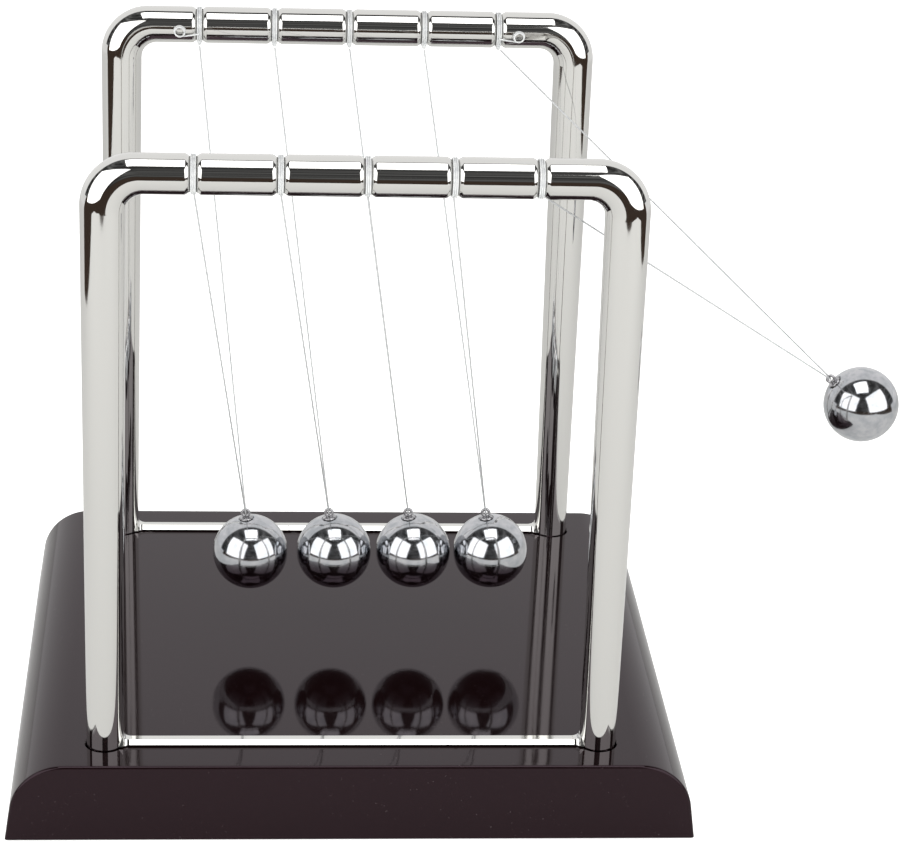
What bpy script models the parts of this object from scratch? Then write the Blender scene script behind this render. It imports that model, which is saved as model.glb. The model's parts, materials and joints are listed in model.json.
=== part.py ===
"""Newton's cradle: five steel balls hung on nylon lines between two plated frames on a moulded base.

X runs along the bars from left to right, Y runs from the front frame to the rear frame and Z is up.
The origin is the centre of the base's underside. The cradle is in mid-swing: four balls lean a little to the
right, and the fifth is up beside them.
"""
from math import asin, atan2, cos, hypot, pi, radians, sin, sqrt, tan

import bmesh
import bpy
import numpy as np
from mathutils import Matrix, Vector

MM = 0.001
GAP = 0.3 * MM

# Base
BASE_WIDTH = 180.0 * MM
BASE_DEPTH = 154.2 * MM
BASE_TOP = 22.0 * MM
RIM_BOTTOM = 0.4 * MM
END_RADIUS = 14.2 * MM
END_LEAN = radians(8.5)
EDGE_RADIUS = 0.8 * MM
WALL = 2.6 * MM
END_STEPS = 7

# Frames
FRAME_SPACING = 128.6 * MM
LEG_OUTER_X = 69.2 * MM
LEG_FOOT_RADIUS = 4.75 * MM
LEG_TOP_RADIUS = 5.6 * MM
LEG_DEPTH = 10.0 * MM
BAR_RADIUS = 5.05 * MM
BAR_HEIGHT = 156.1 * MM
CORNER_OUTER_RADIUS = 13.3 * MM
CORNER_INNER_RADIUS = 4.4 * MM
CORNER_STEPS = 6
GROOVE_HALF_WIDTHS = (2.0 * MM, 1.45 * MM, 0.8 * MM)
GROOVE_DEPTHS = (0.0, 0.3 * MM, 0.85 * MM)
RAIL_DEPTH = 4.2 * MM
RAIL_HEIGHT = 1.2 * MM
RAIL_EDGE = 0.35 * MM

# Pendulums
BALL_COUNT = 5
BALL_RADIUS = 10.35 * MM
BALL_CLEARANCE = 0.25 * MM
BALL_OVER_BASE = 12.8 * MM
SWING_DEGREES = (6.8, 7.8, 8.3, 8.6, 50.5)
LINE_DIAMETER = 0.45 * MM
LINE_STEPS = 12
BEND_STEPS = 6
LOOP_RADIUS = 4.725 * MM
KNOT_DISTANCE = 5.2 * MM
KNOT_RADIUS = 0.62 * MM
LOOP_STEPS = 22
EYE_HOLE_RADIUS = 1.3 * MM
EYE_HOLE_DEPTH = 4.0 * MM
COLLAR_SEAT_RADIUS = 2.2 * MM
COLLAR_SEAT_DEPTH = 0.6 * MM
COLLAR_RADIUS = 1.9 * MM
COLLAR_HEIGHT = 0.6 * MM
RING_RADIUS = 0.95 * MM
RING_WIRE = 0.42 * MM

# Underside and fasteners
SHEET_THICKNESS = 1.0 * MM
PLATE_BOTTOM = 1.3 * MM
PLATE_THICKNESS = 2.4 * MM
BALLAST_SIZE = (110.0 * MM, 98.0 * MM, 5.0 * MM)
SOCKET_RADIUS = 7.3 * MM
SOCKET_BOTTOM = 9.2 * MM
SOCKET_FLOOR = 2.5 * MM
POST_X = 76.0 * MM
POST_Y = 42.0 * MM
POST_RADIUS = 3.6 * MM
POST_BORE_DEPTH = 8.0 * MM
PLATE_SCREW_RADIUS = 1.3 * MM
PLATE_SCREW_HEAD = 2.7 * MM
PLATE_SCREW_LENGTH = 9.0 * MM
LEG_SCREW_RADIUS = 1.5 * MM
LEG_SCREW_HEAD = 2.9 * MM
LEG_SCREW_HEAD_HEIGHT = 2.0 * MM
LEG_SCREW_LENGTH = 13.0 * MM
LEG_BORE_DEPTH = 12.0 * MM
WASHER_RADIUS = 4.0 * MM
WASHER_THICKNESS = 0.8 * MM

SIDES = 16
BALL_SIDES = 24
BALL_STEPS = 13
SMALL_SIDES = 12
WIRE_SIDES = 8

# Worked out from the driving dimensions
BAR_Z = BASE_TOP + BAR_HEIGHT
PITCH = 2.0 * BALL_RADIUS + BALL_CLEARANCE
GROOVE_X = [(k - (BALL_COUNT - 1) / 2.0) * PITCH for k in range(BALL_COUNT)]
LEG_TOP_Z = BAR_Z + BAR_RADIUS - CORNER_OUTER_RADIUS
LEG_X = LEG_OUTER_X - LEG_FOOT_RADIUS
LEG_BOTTOM = BASE_TOP - LEG_DEPTH
RAIL_BOTTOM = BASE_TOP + GAP
PLATE_TOP = PLATE_BOTTOM + PLATE_THICKNESS
BALL_Z = BASE_TOP + BALL_OVER_BASE + BALL_RADIUS
COLLAR_BOTTOM = BALL_RADIUS - COLLAR_SEAT_DEPTH + GAP
RING_Z = COLLAR_BOTTOM + COLLAR_HEIGHT + RING_RADIUS + 0.5 * RING_WIRE
WIRE_Z = BALL_Z + RING_Z + RING_RADIUS
BEND_RADIUS = RING_WIRE + LINE_DIAMETER / 2.0 + GAP
LINE_RISE = BAR_Z - WIRE_Z
LINE_REACH = FRAME_SPACING / 2.0
LINE_ANGLE = atan2(LINE_REACH, LINE_RISE) - asin(BEND_RADIUS / hypot(LINE_REACH, LINE_RISE))
PIVOT_Z = BAR_Z - KNOT_DISTANCE * cos(LINE_ANGLE)


def remove_everything():
    for item in list(bpy.data.objects):
        bpy.data.objects.remove(item)


def finish(name, red, green, blue, metallic, roughness):
    """A Principled material of one linear colour."""
    material = bpy.data.materials.new(name)
    material.use_nodes = True
    shader = material.node_tree.nodes["Principled BSDF"]
    shader.inputs["Base Color"].default_value = (red, green, blue, 1.0)
    shader.inputs["Metallic"].default_value = metallic
    shader.inputs["Roughness"].default_value = roughness
    return material


def add_mesh(name, points, faces, material=None, parent=None):
    """One mesh object, shaded smooth but for its hard edges."""
    mesh = bpy.data.meshes.new(name)
    mesh.from_pydata([tuple(p) for p in points], [], faces)
    mesh.shade_smooth()
    mesh.set_sharp_from_angle(angle=radians(35.0))
    item = bpy.data.objects.new(name, mesh)
    bpy.context.collection.objects.link(item)
    if material:
        mesh.materials.append(material)
    item.parent = parent
    return item


def as_cutter(item):
    item.hide_render = True
    item.display_type = "WIRE"
    return item


def combine(item, other, operation):
    """A Boolean of two closed meshes; the second one is only a tool."""
    as_cutter(other)
    modifier = item.modifiers.new(operation.lower(), "BOOLEAN")
    modifier.operation = operation
    modifier.solver = "EXACT"
    modifier.object = other
    return item


def loft(rings, closed=False):
    """Points and faces of a skin over rings of equal size, capped at both ends unless it is closed."""
    count, size = len(rings), len(rings[0])
    points = [p for ring in rings for p in ring]
    faces = []
    for i in range(count if closed else count - 1):
        a, b = i * size, ((i + 1) % count) * size
        for j in range(size):
            k = (j + 1) % size
            faces.append((a + j, a + k, b + k, b + j))
    if not closed:
        faces.append(tuple(reversed(range(size))))
        faces.append(tuple(range((count - 1) * size, count * size)))
    return points, faces


def turned(profile, sides, centre=(0.0, 0.0)):
    """Points and faces of a profile of (radius, height) turned about a vertical line.

    The profile runs from bottom to top with the solid on its inner side. Points on the axis become one.
    """
    points, rows, faces = [], [], []
    for radius, height in profile:
        if radius <= 0.0:
            rows.append([len(points)] * sides)
            points.append((centre[0], centre[1], height))
            continue
        rows.append(list(range(len(points), len(points) + sides)))
        for j in range(sides):
            turn = 2.0 * pi * j / sides
            points.append((centre[0] + radius * cos(turn), centre[1] + radius * sin(turn), height))
    for lower, upper in zip(rows, rows[1:]):
        for j in range(sides):
            k = (j + 1) % sides
            corners = []
            for corner in (lower[j], lower[k], upper[k], upper[j]):
                if corner not in corners:
                    corners.append(corner)
            if len(corners) > 2:
                faces.append(tuple(corners))
    return points, faces


def joined(shapes):
    """Several (points, faces) in one list, as separate closed bodies."""
    points, faces = [], []
    for some_points, some_faces in shapes:
        start = len(points)
        points.extend(some_points)
        faces.extend(tuple(start + i for i in face) for face in some_faces)
    return points, faces


def cylinder(radius, bottom, top, sides, centre=(0.0, 0.0)):
    return turned([(0.0, bottom), (radius, bottom), (radius, top), (0.0, top)], sides, centre)


def torus(radius, wire, steps, sides, height):
    """A ring that stands upright and faces the front, with its centre at the given height."""
    rings = []
    for i in range(steps):
        turn = 2.0 * pi * i / steps
        ring = []
        for j in range(sides):
            around = 2.0 * pi * j / sides
            reach = radius + wire * cos(around)
            ring.append((reach * sin(turn), wire * sin(around), height + reach * cos(turn)))
        rings.append(ring)
    return loft(rings, closed=True)


def end_outline(inset, bottom):
    """The base seen from the front, going round from bottom left: leaning sides and round top corners."""
    radius = END_RADIUS - inset
    top = BASE_TOP - inset
    sweep = pi / 2.0 - END_LEAN
    foot_x = BASE_WIDTH / 2.0 - inset / cos(END_LEAN) + (RIM_BOTTOM - bottom) * tan(END_LEAN)
    meet_z = top - radius + radius * cos(sweep)
    centre_x = foot_x - (meet_z - bottom) * tan(END_LEAN) - radius * sin(sweep)
    right = [(foot_x, bottom)]
    for i in range(END_STEPS + 1):
        turn = sweep * (1.0 - i / END_STEPS)
        right.append((centre_x + radius * sin(turn), top - radius + radius * cos(turn)))
    left = [(-x, z) for x, z in reversed(right)]
    return right + left


def across(outline, depth):
    return [(x, depth, z) for x, z in outline]


def leg_places():
    return [(sx * LEG_X, sy * FRAME_SPACING / 2.0) for sy in (-1, 1) for sx in (-1, 1)]


def post_places():
    return [(sx * POST_X, sy * POST_Y) for sy in (-1, 1) for sx in (-1, 1)]


def base_shell(material):
    """An open-bottomed moulding with four leg sockets and four screw posts under its top."""
    half = BASE_DEPTH / 2.0
    stations = [
        (EDGE_RADIUS, half),
        (EDGE_RADIUS * (1.0 - sqrt(0.5)), half - EDGE_RADIUS * (1.0 - sqrt(0.5))),
        (0.0, half - EDGE_RADIUS),
    ]
    stations += [(inset, -depth) for inset, depth in reversed(stations)]
    rings = [across(end_outline(inset, RIM_BOTTOM + inset), depth) for inset, depth in stations]
    shell = add_mesh("base_shell", *loft(rings), material)

    inner = end_outline(WALL, -MM)
    hollow = loft([across(inner, half - WALL), across(inner, WALL - half)])
    combine(shell, add_mesh("hollow_tool", *hollow), "DIFFERENCE")

    into_top = BASE_TOP - WALL / 2.0
    posts = [cylinder(SOCKET_RADIUS, SOCKET_BOTTOM, into_top, SIDES, place) for place in leg_places()]
    posts += [cylinder(POST_RADIUS, PLATE_TOP + GAP, into_top, SMALL_SIDES, place) for place in post_places()]
    combine(shell, add_mesh("posts_tool", *joined(posts)), "UNION")

    fit = LEG_FOOT_RADIUS + GAP
    screw = LEG_SCREW_RADIUS + GAP
    floor = SOCKET_BOTTOM + SOCKET_FLOOR
    step = [(0.0, SOCKET_BOTTOM - MM), (screw, SOCKET_BOTTOM - MM), (screw, floor), (fit, floor)]
    step += [(fit, BASE_TOP + MM), (0.0, BASE_TOP + MM)]
    holes = [turned(step, SIDES, place) for place in leg_places()]
    bore_top = PLATE_TOP + POST_BORE_DEPTH
    holes += [cylinder(PLATE_SCREW_RADIUS + GAP, PLATE_TOP - MM, bore_top, SMALL_SIDES, place)
              for place in post_places()]
    combine(shell, add_mesh("holes_tool", *joined(holes)), "DIFFERENCE")


def flat_sheet(name, bottom, top, material):
    """A sheet that fills the base's open underside, with the base's slanted ends."""
    depth = BASE_DEPTH / 2.0 - WALL - GAP
    low = [x for x, _ in end_outline(WALL + GAP, bottom)]
    high = [x for x, _ in end_outline(WALL + GAP, top)]
    rings = [[(low[0], y, bottom), (high[0], y, top), (-high[0], y, top), (-low[0], y, bottom)]
             for y in (depth, -depth)]
    return add_mesh(name, *loft(rings), material)


def base_plate(material):
    """The bottom cover, countersunk for its four screws."""
    plate = flat_sheet("base_plate", PLATE_BOTTOM, PLATE_TOP, material)
    wide = PLATE_SCREW_HEAD + GAP
    narrow = PLATE_SCREW_RADIUS + GAP
    cone_top = PLATE_BOTTOM + wide - narrow
    sink = [(0.0, PLATE_BOTTOM - MM), (wide, PLATE_BOTTOM - MM), (wide, PLATE_BOTTOM), (narrow, cone_top)]
    sink += [(narrow, PLATE_TOP + MM), (0.0, PLATE_TOP + MM)]
    tool = joined([turned(sink, SMALL_SIDES, place) for place in post_places()])
    combine(plate, add_mesh("sinks_tool", *tool), "DIFFERENCE")


def ballast_plate(material):
    """A steel slab that lies on the bottom cover and keeps the cradle from walking."""
    width, depth, height = BALLAST_SIZE
    bottom = PLATE_TOP + GAP
    mesh = bmesh.new()
    bmesh.ops.create_cube(mesh, size=1.0)
    bmesh.ops.scale(mesh, vec=(width, depth, height), verts=mesh.verts)
    bmesh.ops.translate(mesh, vec=(0.0, 0.0, bottom + height / 2.0), verts=mesh.verts)
    points = [v.co.copy() for v in mesh.verts]
    faces = [tuple(v.index for v in face.verts) for face in mesh.faces]
    mesh.free()
    add_mesh("ballast_plate", points, faces, material)


def plate_screw(name, place, material):
    """A countersunk screw that holds the bottom cover."""
    head = PLATE_SCREW_HEAD
    shank = PLATE_SCREW_RADIUS
    bottom = PLATE_BOTTOM + 0.1 * MM
    tip = bottom + PLATE_SCREW_LENGTH
    profile = [(0.0, bottom), (head, bottom), (shank, bottom + head - shank), (shank, tip - MM), (0.0, tip)]
    add_mesh(name, *turned(profile, SMALL_SIDES, place), material)


def leg_screw(name, place, material):
    """A pan head screw that goes up through the socket's floor into a leg."""
    top = SOCKET_BOTTOM - 2.0 * GAP - WASHER_THICKNESS
    bottom = top - LEG_SCREW_HEAD_HEIGHT
    tip = top + LEG_SCREW_LENGTH
    profile = [(0.0, bottom), (LEG_SCREW_HEAD - 0.6 * MM, bottom), (LEG_SCREW_HEAD, bottom + 0.7 * MM)]
    profile += [(LEG_SCREW_HEAD, top), (LEG_SCREW_RADIUS, top), (LEG_SCREW_RADIUS, tip - MM), (0.0, tip)]
    add_mesh(name, *turned(profile, SMALL_SIDES, place), material)


def leg_washer(name, place, material):
    """A flat washer between a leg screw's head and the socket's floor."""
    bottom = SOCKET_BOTTOM - GAP - WASHER_THICKNESS
    rings = []
    for radius, height in ((LEG_SCREW_RADIUS + GAP, bottom), (WASHER_RADIUS, bottom),
                           (WASHER_RADIUS, bottom + WASHER_THICKNESS),
                           (LEG_SCREW_RADIUS + GAP, bottom + WASHER_THICKNESS)):
        rings.append([(place[0] + radius * cos(2.0 * pi * j / SMALL_SIDES),
                       place[1] + radius * sin(2.0 * pi * j / SMALL_SIDES), height)
                      for j in range(SMALL_SIDES)])
    add_mesh(name, *loft(rings, closed=True), material)


def leg_radius(height):
    """Each leg thickens evenly from the base's top to the corner; its outer edge stays upright."""
    share = (height - BASE_TOP) / (LEG_TOP_Z - BASE_TOP)
    return LEG_FOOT_RADIUS + (LEG_TOP_RADIUS - LEG_FOOT_RADIUS) * max(0.0, share)


def half_stations():
    """(x, z, radius, tilt) of the tube's rings from the right foot to the middle of the bar."""
    stations = []
    for height in (LEG_BOTTOM, BASE_TOP, LEG_TOP_Z - 1.5 * MM):
        radius = leg_radius(height)
        stations.append((LEG_OUTER_X - radius, height, radius, 0.0))
    outer = (LEG_OUTER_X - CORNER_OUTER_RADIUS, LEG_TOP_Z)
    inner = (LEG_OUTER_X - 2.0 * LEG_TOP_RADIUS - CORNER_INNER_RADIUS,
             BAR_Z - BAR_RADIUS - CORNER_INNER_RADIUS)
    for i in range(CORNER_STEPS + 1):
        turn = pi / 2.0 * i / CORNER_STEPS
        far = Vector((outer[0] + CORNER_OUTER_RADIUS * cos(turn), outer[1] + CORNER_OUTER_RADIUS * sin(turn)))
        near = Vector((inner[0] + CORNER_INNER_RADIUS * cos(turn), inner[1] + CORNER_INNER_RADIUS * sin(turn)))
        middle = (far + near) / 2.0
        stations.append((middle.x, middle.y, (far - near).length / 2.0, atan2(far.y - near.y, far.x - near.x)))
    for x in reversed(GROOVE_X[BALL_COUNT // 2:]):
        offsets = list(zip(GROOVE_HALF_WIDTHS, GROOVE_DEPTHS))
        stations += [(x + offset, BAR_Z, BAR_RADIUS - depth, pi / 2.0) for offset, depth in offsets]
        if x > 0.1 * MM:
            stations += [(x - offset, BAR_Z, BAR_RADIUS - depth, pi / 2.0) for offset, depth in reversed(offsets)]
    return stations


def frame(name, depth, material):
    """One plated hoop: two tapered legs, a grooved bar, and a thin rail that ties the legs at the base."""
    right = half_stations()
    left = [(-x, z, radius, pi - tilt) for x, z, radius, tilt in reversed(right)]
    rings = []
    for x, z, radius, tilt in right + left:
        ring = []
        for j in range(SIDES):
            turn = 2.0 * pi * j / SIDES
            reach = radius * cos(turn)
            ring.append((x + reach * cos(tilt), depth + radius * sin(turn), z + reach * sin(tilt)))
        rings.append(ring)
    hoop = add_mesh(name, *loft(rings), material)

    half, low, high = RAIL_DEPTH / 2.0, RAIL_BOTTOM, RAIL_BOTTOM + RAIL_HEIGHT
    section = [(-half, low), (half, low), (half, high - RAIL_EDGE), (half - RAIL_EDGE, high)]
    section += [(RAIL_EDGE - half, high), (-half, high - RAIL_EDGE)]
    rail = loft([[(x, depth + y, z) for y, z in section] for x in (-LEG_X, LEG_X)])
    combine(hoop, add_mesh(name + "_rail_tool", *rail), "UNION")

    bores = [cylinder(LEG_SCREW_RADIUS + GAP, LEG_BOTTOM - MM, LEG_BOTTOM + LEG_BORE_DEPTH, SMALL_SIDES, (x, depth))
             for x in (-LEG_X, LEG_X)]
    combine(hoop, add_mesh(name + "_bore_tool", *joined(bores)), "DIFFERENCE")


def line_loop(name, x, side, material):
    """A turn of line round a groove's neck, which swells into its knot on the side that faces the ball."""
    steps = [2.0 * pi * i / LOOP_STEPS for i in range(3, LOOP_STEPS - 2)]
    swell = KNOT_RADIUS - LINE_DIAMETER / 2.0
    near = [-0.26, -0.15, -0.07, 0.0, 0.07, 0.15, 0.26]
    rings = []
    for turn in near + steps:
        bump = max(0.0, 1.0 - (turn / 0.26) ** 2) if abs(turn) <= 0.26 else 0.0
        wire = LINE_DIAMETER / 2.0 + swell * sqrt(bump)
        radius = LOOP_RADIUS + (KNOT_DISTANCE - LOOP_RADIUS) * sqrt(bump)
        at = LINE_ANGLE + turn
        ring = []
        for j in range(WIRE_SIDES):
            around = 2.0 * pi * j / WIRE_SIDES
            reach = radius + wire * cos(around)
            ring.append((x + wire * sin(around), side * (LINE_REACH - reach * sin(at)), BAR_Z - reach * cos(at)))
        rings.append(ring if side > 0 else list(reversed(ring)))
    add_mesh(name, *loft(rings, closed=True), material)


def pivot(k):
    """The empty at a ball's hinge, the line through its two knots, turned to the ball's place in the swing."""
    empty = bpy.data.objects.new("pivot_%d" % (k + 1), None)
    bpy.context.collection.objects.link(empty)
    empty.location = (GROOVE_X[k], 0.0, PIVOT_Z)
    empty.rotation_euler = (0.0, -radians(SWING_DEGREES[k]), 0.0)
    return empty


def ball(name, centre, material, parent):
    """A ball with a blind hole for its eye and a shallow seat for the eye's collar."""
    seat = COLLAR_SEAT_RADIUS
    start = asin(seat / BALL_RADIUS)
    profile = []
    for i in range(BALL_STEPS + 1):
        turn = pi - (pi - start) * i / BALL_STEPS
        profile.append((0.0 if i == 0 else BALL_RADIUS * sin(turn), centre + BALL_RADIUS * cos(turn)))
    seat_floor = centre + BALL_RADIUS - COLLAR_SEAT_DEPTH
    hole_floor = centre + BALL_RADIUS - EYE_HOLE_DEPTH
    profile += [(seat, seat_floor), (EYE_HOLE_RADIUS, seat_floor), (EYE_HOLE_RADIUS, hole_floor), (0.0, hole_floor)]
    add_mesh(name, *turned(profile, BALL_SIDES), material, parent)


def ball_eye(name, centre, material, parent):
    """A stud with a collar, and on it the ring that the line runs through."""
    low = centre + COLLAR_BOTTOM
    high = low + COLLAR_HEIGHT
    stud = EYE_HOLE_RADIUS - GAP
    foot = centre + BALL_RADIUS - EYE_HOLE_DEPTH + GAP
    neck = centre + RING_Z - RING_RADIUS
    profile = [(0.0, foot), (stud, foot), (stud, low), (COLLAR_RADIUS, low), (COLLAR_RADIUS, high - 0.2 * MM)]
    profile += [(COLLAR_RADIUS - 0.3 * MM, high), (0.6 * MM, high), (0.35 * MM, neck), (0.0, neck)]
    eye = add_mesh(name, *turned(profile, SMALL_SIDES), material, parent)
    ring = torus(RING_RADIUS, RING_WIRE, SIDES, WIRE_SIDES, centre + RING_Z)
    combine(eye, add_mesh(name + "_ring_tool", *ring, None, parent), "UNION")


def line_route():
    """The line from the front knot, down, under the eye's ring and up to the rear knot, about its pivot."""
    down = Vector((0.0, sin(LINE_ANGLE), -cos(LINE_ANGLE)))
    bar = Vector((0.0, -LINE_REACH, BAR_Z - PIVOT_Z))
    start = bar + (KNOT_DISTANCE + KNOT_RADIUS + GAP) * down
    wire = Vector((0.0, 0.0, WIRE_Z - PIVOT_Z))
    half_turn = pi / 2.0 - LINE_ANGLE
    bend = []
    for i in range(BEND_STEPS + 1):
        turn = half_turn * (2.0 * i / BEND_STEPS - 1.0)
        bend.append(wire + BEND_RADIUS * Vector((0.0, sin(turn), -cos(turn))))
    run = [start.lerp(bend[0], i / LINE_STEPS) for i in range(LINE_STEPS)]
    back = [Vector((p.x, -p.y, p.z)) for p in reversed(run)]
    return run + bend + back


def line(name, material, parent):
    """A ball's nylon line, drawn tight."""
    curve = bpy.data.curves.new(name, "CURVE")
    curve.dimensions = "3D"
    curve.bevel_depth = LINE_DIAMETER / 2.0
    curve.bevel_resolution = 2
    curve.use_fill_caps = True
    route = line_route()
    spline = curve.splines.new("POLY")
    spline.points.add(len(route) - 1)
    for point, place in zip(spline.points, route):
        point.co = (*place, 1.0)
    curve.materials.append(material)
    item = bpy.data.objects.new(name, curve)
    bpy.context.collection.objects.link(item)
    item.parent = parent


def build():
    remove_everything()
    brown = finish("moulded_abs", 0.020, 0.014, 0.015, 0.0, 0.16)
    cover = finish("black_abs", 0.012, 0.012, 0.013, 0.0, 0.5)
    felt = finish("black_felt", 0.008, 0.008, 0.009, 0.0, 0.95)
    chrome = finish("chrome_plated_abs", 0.86, 0.86, 0.85, 1.0, 0.06)
    steel = finish("polished_steel", 0.72, 0.73, 0.76, 1.0, 0.10)
    nickel = finish("nickel_plated_brass", 0.66, 0.64, 0.60, 1.0, 0.22)
    zinc = finish("zinc_plated_steel", 0.55, 0.56, 0.58, 1.0, 0.35)
    nylon = finish("nylon_line", 0.80, 0.80, 0.80, 0.0, 0.30)

    base_shell(brown)
    base_plate(cover)
    flat_sheet("base_felt", 0.0, SHEET_THICKNESS, felt)
    ballast_plate(zinc)
    for number, place in enumerate(post_places(), 1):
        plate_screw("plate_screw_%d" % number, place, zinc)
    for number, place in enumerate(leg_places(), 1):
        leg_screw("leg_screw_%d" % number, place, zinc)
        leg_washer("leg_washer_%d" % number, place, zinc)
    frame("front_frame", -FRAME_SPACING / 2.0, chrome)
    frame("rear_frame", FRAME_SPACING / 2.0, chrome)
    for k in range(BALL_COUNT):
        number = k + 1
        line_loop("front_loop_%d" % number, GROOVE_X[k], -1, nylon)
        line_loop("rear_loop_%d" % number, GROOVE_X[k], 1, nylon)
        hinge = pivot(k)
        ball("ball_%d" % number, BALL_Z - PIVOT_Z, steel, hinge)
        ball_eye("ball_eye_%d" % number, BALL_Z - PIVOT_Z, nickel, hinge)
        line("line_%d" % number, nylon, hinge)


build()
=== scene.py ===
"""Newton's cradle on a plain white table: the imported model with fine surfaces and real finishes.

X runs along the bars, Y from the front frame to the rear frame and Z up, in metres, with the
origin at the centre of the base's underside.
"""

import json

import bmesh
import bpy
import numpy as np
from mathutils import Matrix, Vector


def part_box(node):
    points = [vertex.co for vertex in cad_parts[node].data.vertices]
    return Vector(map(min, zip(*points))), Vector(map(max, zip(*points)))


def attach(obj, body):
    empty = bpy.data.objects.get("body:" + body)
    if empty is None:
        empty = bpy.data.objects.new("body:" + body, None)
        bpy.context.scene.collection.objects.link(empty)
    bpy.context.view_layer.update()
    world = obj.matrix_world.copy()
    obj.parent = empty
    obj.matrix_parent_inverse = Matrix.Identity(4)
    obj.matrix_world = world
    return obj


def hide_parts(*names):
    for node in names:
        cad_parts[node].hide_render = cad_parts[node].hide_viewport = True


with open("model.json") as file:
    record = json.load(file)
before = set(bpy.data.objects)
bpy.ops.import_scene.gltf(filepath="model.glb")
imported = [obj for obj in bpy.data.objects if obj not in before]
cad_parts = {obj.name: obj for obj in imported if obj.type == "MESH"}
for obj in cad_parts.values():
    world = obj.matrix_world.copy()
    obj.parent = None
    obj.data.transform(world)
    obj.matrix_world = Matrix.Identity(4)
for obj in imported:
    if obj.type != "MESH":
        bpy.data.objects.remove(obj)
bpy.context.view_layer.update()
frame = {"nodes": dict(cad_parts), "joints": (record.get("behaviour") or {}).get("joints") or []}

# Lengths are in metres and angles in radians, unless a name says degrees.
MM = 0.001
PER_MM = 1000.0
TAU = 2.0 * np.pi
WELD = 0.0001 * MM  # points of a skin closer than this are one point
MERGE = 0.002 * MM  # the same after a Boolean
PAST = 1.0 * MM  # how far a cutting tool runs past the surface
SHARP_DEGREES = 35.0
NORMAL_WEIGHT = 80
MIRRORED = (-1, 1)
NODES = frame["nodes"]
PIVOTS = {j["child"]: np.array(j["pos_m"]) for j in frame["joints"]}

# Camera
IMAGE_WIDTH = 905
SENSOR_WIDTH = 36.0
FOCAL_PIXELS = 2954.2
CAMERA_PLACE = (-0.03316, -0.73926, 0.40846)
CAMERA_YAW = -0.08276
CAMERA_TILT = 0.41068
CAMERA_ROLL = 0.04045
CLIP_NEAR = 0.02
CLIP_FAR = 50.0

# Base
BASE_LOW, BASE_HIGH = (np.array(corner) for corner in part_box("base_shell"))
BASE_TOP = BASE_HIGH[2]
RIM_BOTTOM = BASE_LOW[2]
END_RADIUS = 14.2 * MM
END_LEAN = np.radians(8.5)
END_STEPS = 26
EDGE_RADIUS = 0.8 * MM
EDGE_STEPS = 6
EDGE_RUN = 3.0 * MM
WALL = 2.6 * MM
SOCKET_RADIUS = 7.3 * MM
SOCKET_BOTTOM = 9.2 * MM
SOCKET_FLOOR = 2.5 * MM
SOCKET_CHAMFER = 0.25 * MM
SOCKET_SIDES = 48
SOCKET_HOLE_SIDES = 64
POST_X = 76.0 * MM
POST_Y = 42.0 * MM
POST_RADIUS = 3.6 * MM
POST_BORE = 1.6 * MM
POST_BORE_TOP = 11.7 * MM
POST_SIDES = 32
BORE_SIDES = 24
COVER_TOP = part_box("base_plate")[1][2]
GAP = 0.3 * MM

# Frames
FRONT_LOW, FRONT_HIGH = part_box("front_frame")
REAR_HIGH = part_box("rear_frame")[1]
LEG_OUTER_X = 69.2 * MM
LEG_FOOT_RADIUS = 4.75 * MM
LEG_TOP_RADIUS = 5.6 * MM
LEG_STATIONS = 24
LEG_END = 0.5 * MM
LEG_BOTTOM = FRONT_LOW[2]
LEG_BORE = 1.8 * MM
LEG_BORE_DEPTH = 12.0 * MM
BAR_RADIUS = 5.05 * MM
BAR_Z = FRONT_HIGH[2] - BAR_RADIUS
BAR_STATIONS = 41
BAR_END = 3.0 * MM
FRAME_Y = {"front": FRONT_LOW[1] + LEG_TOP_RADIUS, "rear": REAR_HIGH[1] - LEG_TOP_RADIUS}
CORNER_OUTER = 13.3 * MM
CORNER_INNER = 4.4 * MM
CORNER_STATIONS = 37
HOOP_SIDES = 72
GROOVE_HALF_WIDTH = 2.15 * MM
GROOVE_FLOOR = 0.25 * MM
GROOVE_DEPTH = 0.85 * MM
GROOVE_STATIONS = 31
GROOVE_X = [PIVOTS["pendulum_%d" % n][0] for n in range(1, 6)]
RAIL_DEPTH = 4.2 * MM
RAIL_LOW = BASE_TOP + GAP
RAIL_HIGH = RAIL_LOW + 1.2 * MM
RAIL_EDGE = 0.2 * MM
RAIL_SLOPE = 1.1 * MM
RAIL_FLARE = 2.2 * MM
RAIL_FLARE_SIZE = 0.9 * MM
RAIL_FLARE_END = 0.999  # keeps the flare's end off the vertical
RAIL_STATIONS = 9

# Pendulums
SWING_DEGREES = (6.8, 7.8, 8.3, 8.6, 50.5)
BALL_RADIUS = 10.35 * MM
BALL_Z = 45.15 * MM
BALL_STATIONS = 90
BALL_SIDES = 128
PIVOT_Z = PIVOTS["pendulum_1"][2]
SEAT_RADIUS = 2.2 * MM
SEAT_DEPTH = 0.6 * MM
EYE_HOLE = 1.3 * MM
EYE_HOLE_DEPTH = 4.0 * MM
COLLAR_RADIUS = 1.9 * MM
COLLAR_HEIGHT = 0.6 * MM
COLLAR_ROUND = 0.35 * MM
COLLAR_LOW = BALL_RADIUS - SEAT_DEPTH + GAP
EYE_SIDES = 48
EYE_SHARP_DEGREES = 50.0
NECK_RADIUS = 0.5 * MM
NECK_FLARE = ((0.85 * MM, 0.02 * MM), (0.62 * MM, 0.12 * MM))  # radius and rise over the collar
RING_RADIUS = 0.95 * MM
RING_WIRE = 0.42 * MM
RING_CENTRE = COLLAR_LOW + COLLAR_HEIGHT + RING_RADIUS + 0.5 * RING_WIRE
RING_STEPS = 48
RING_SIDES = 20
WIRE_Z = BALL_Z + RING_CENTRE + RING_RADIUS

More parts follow.
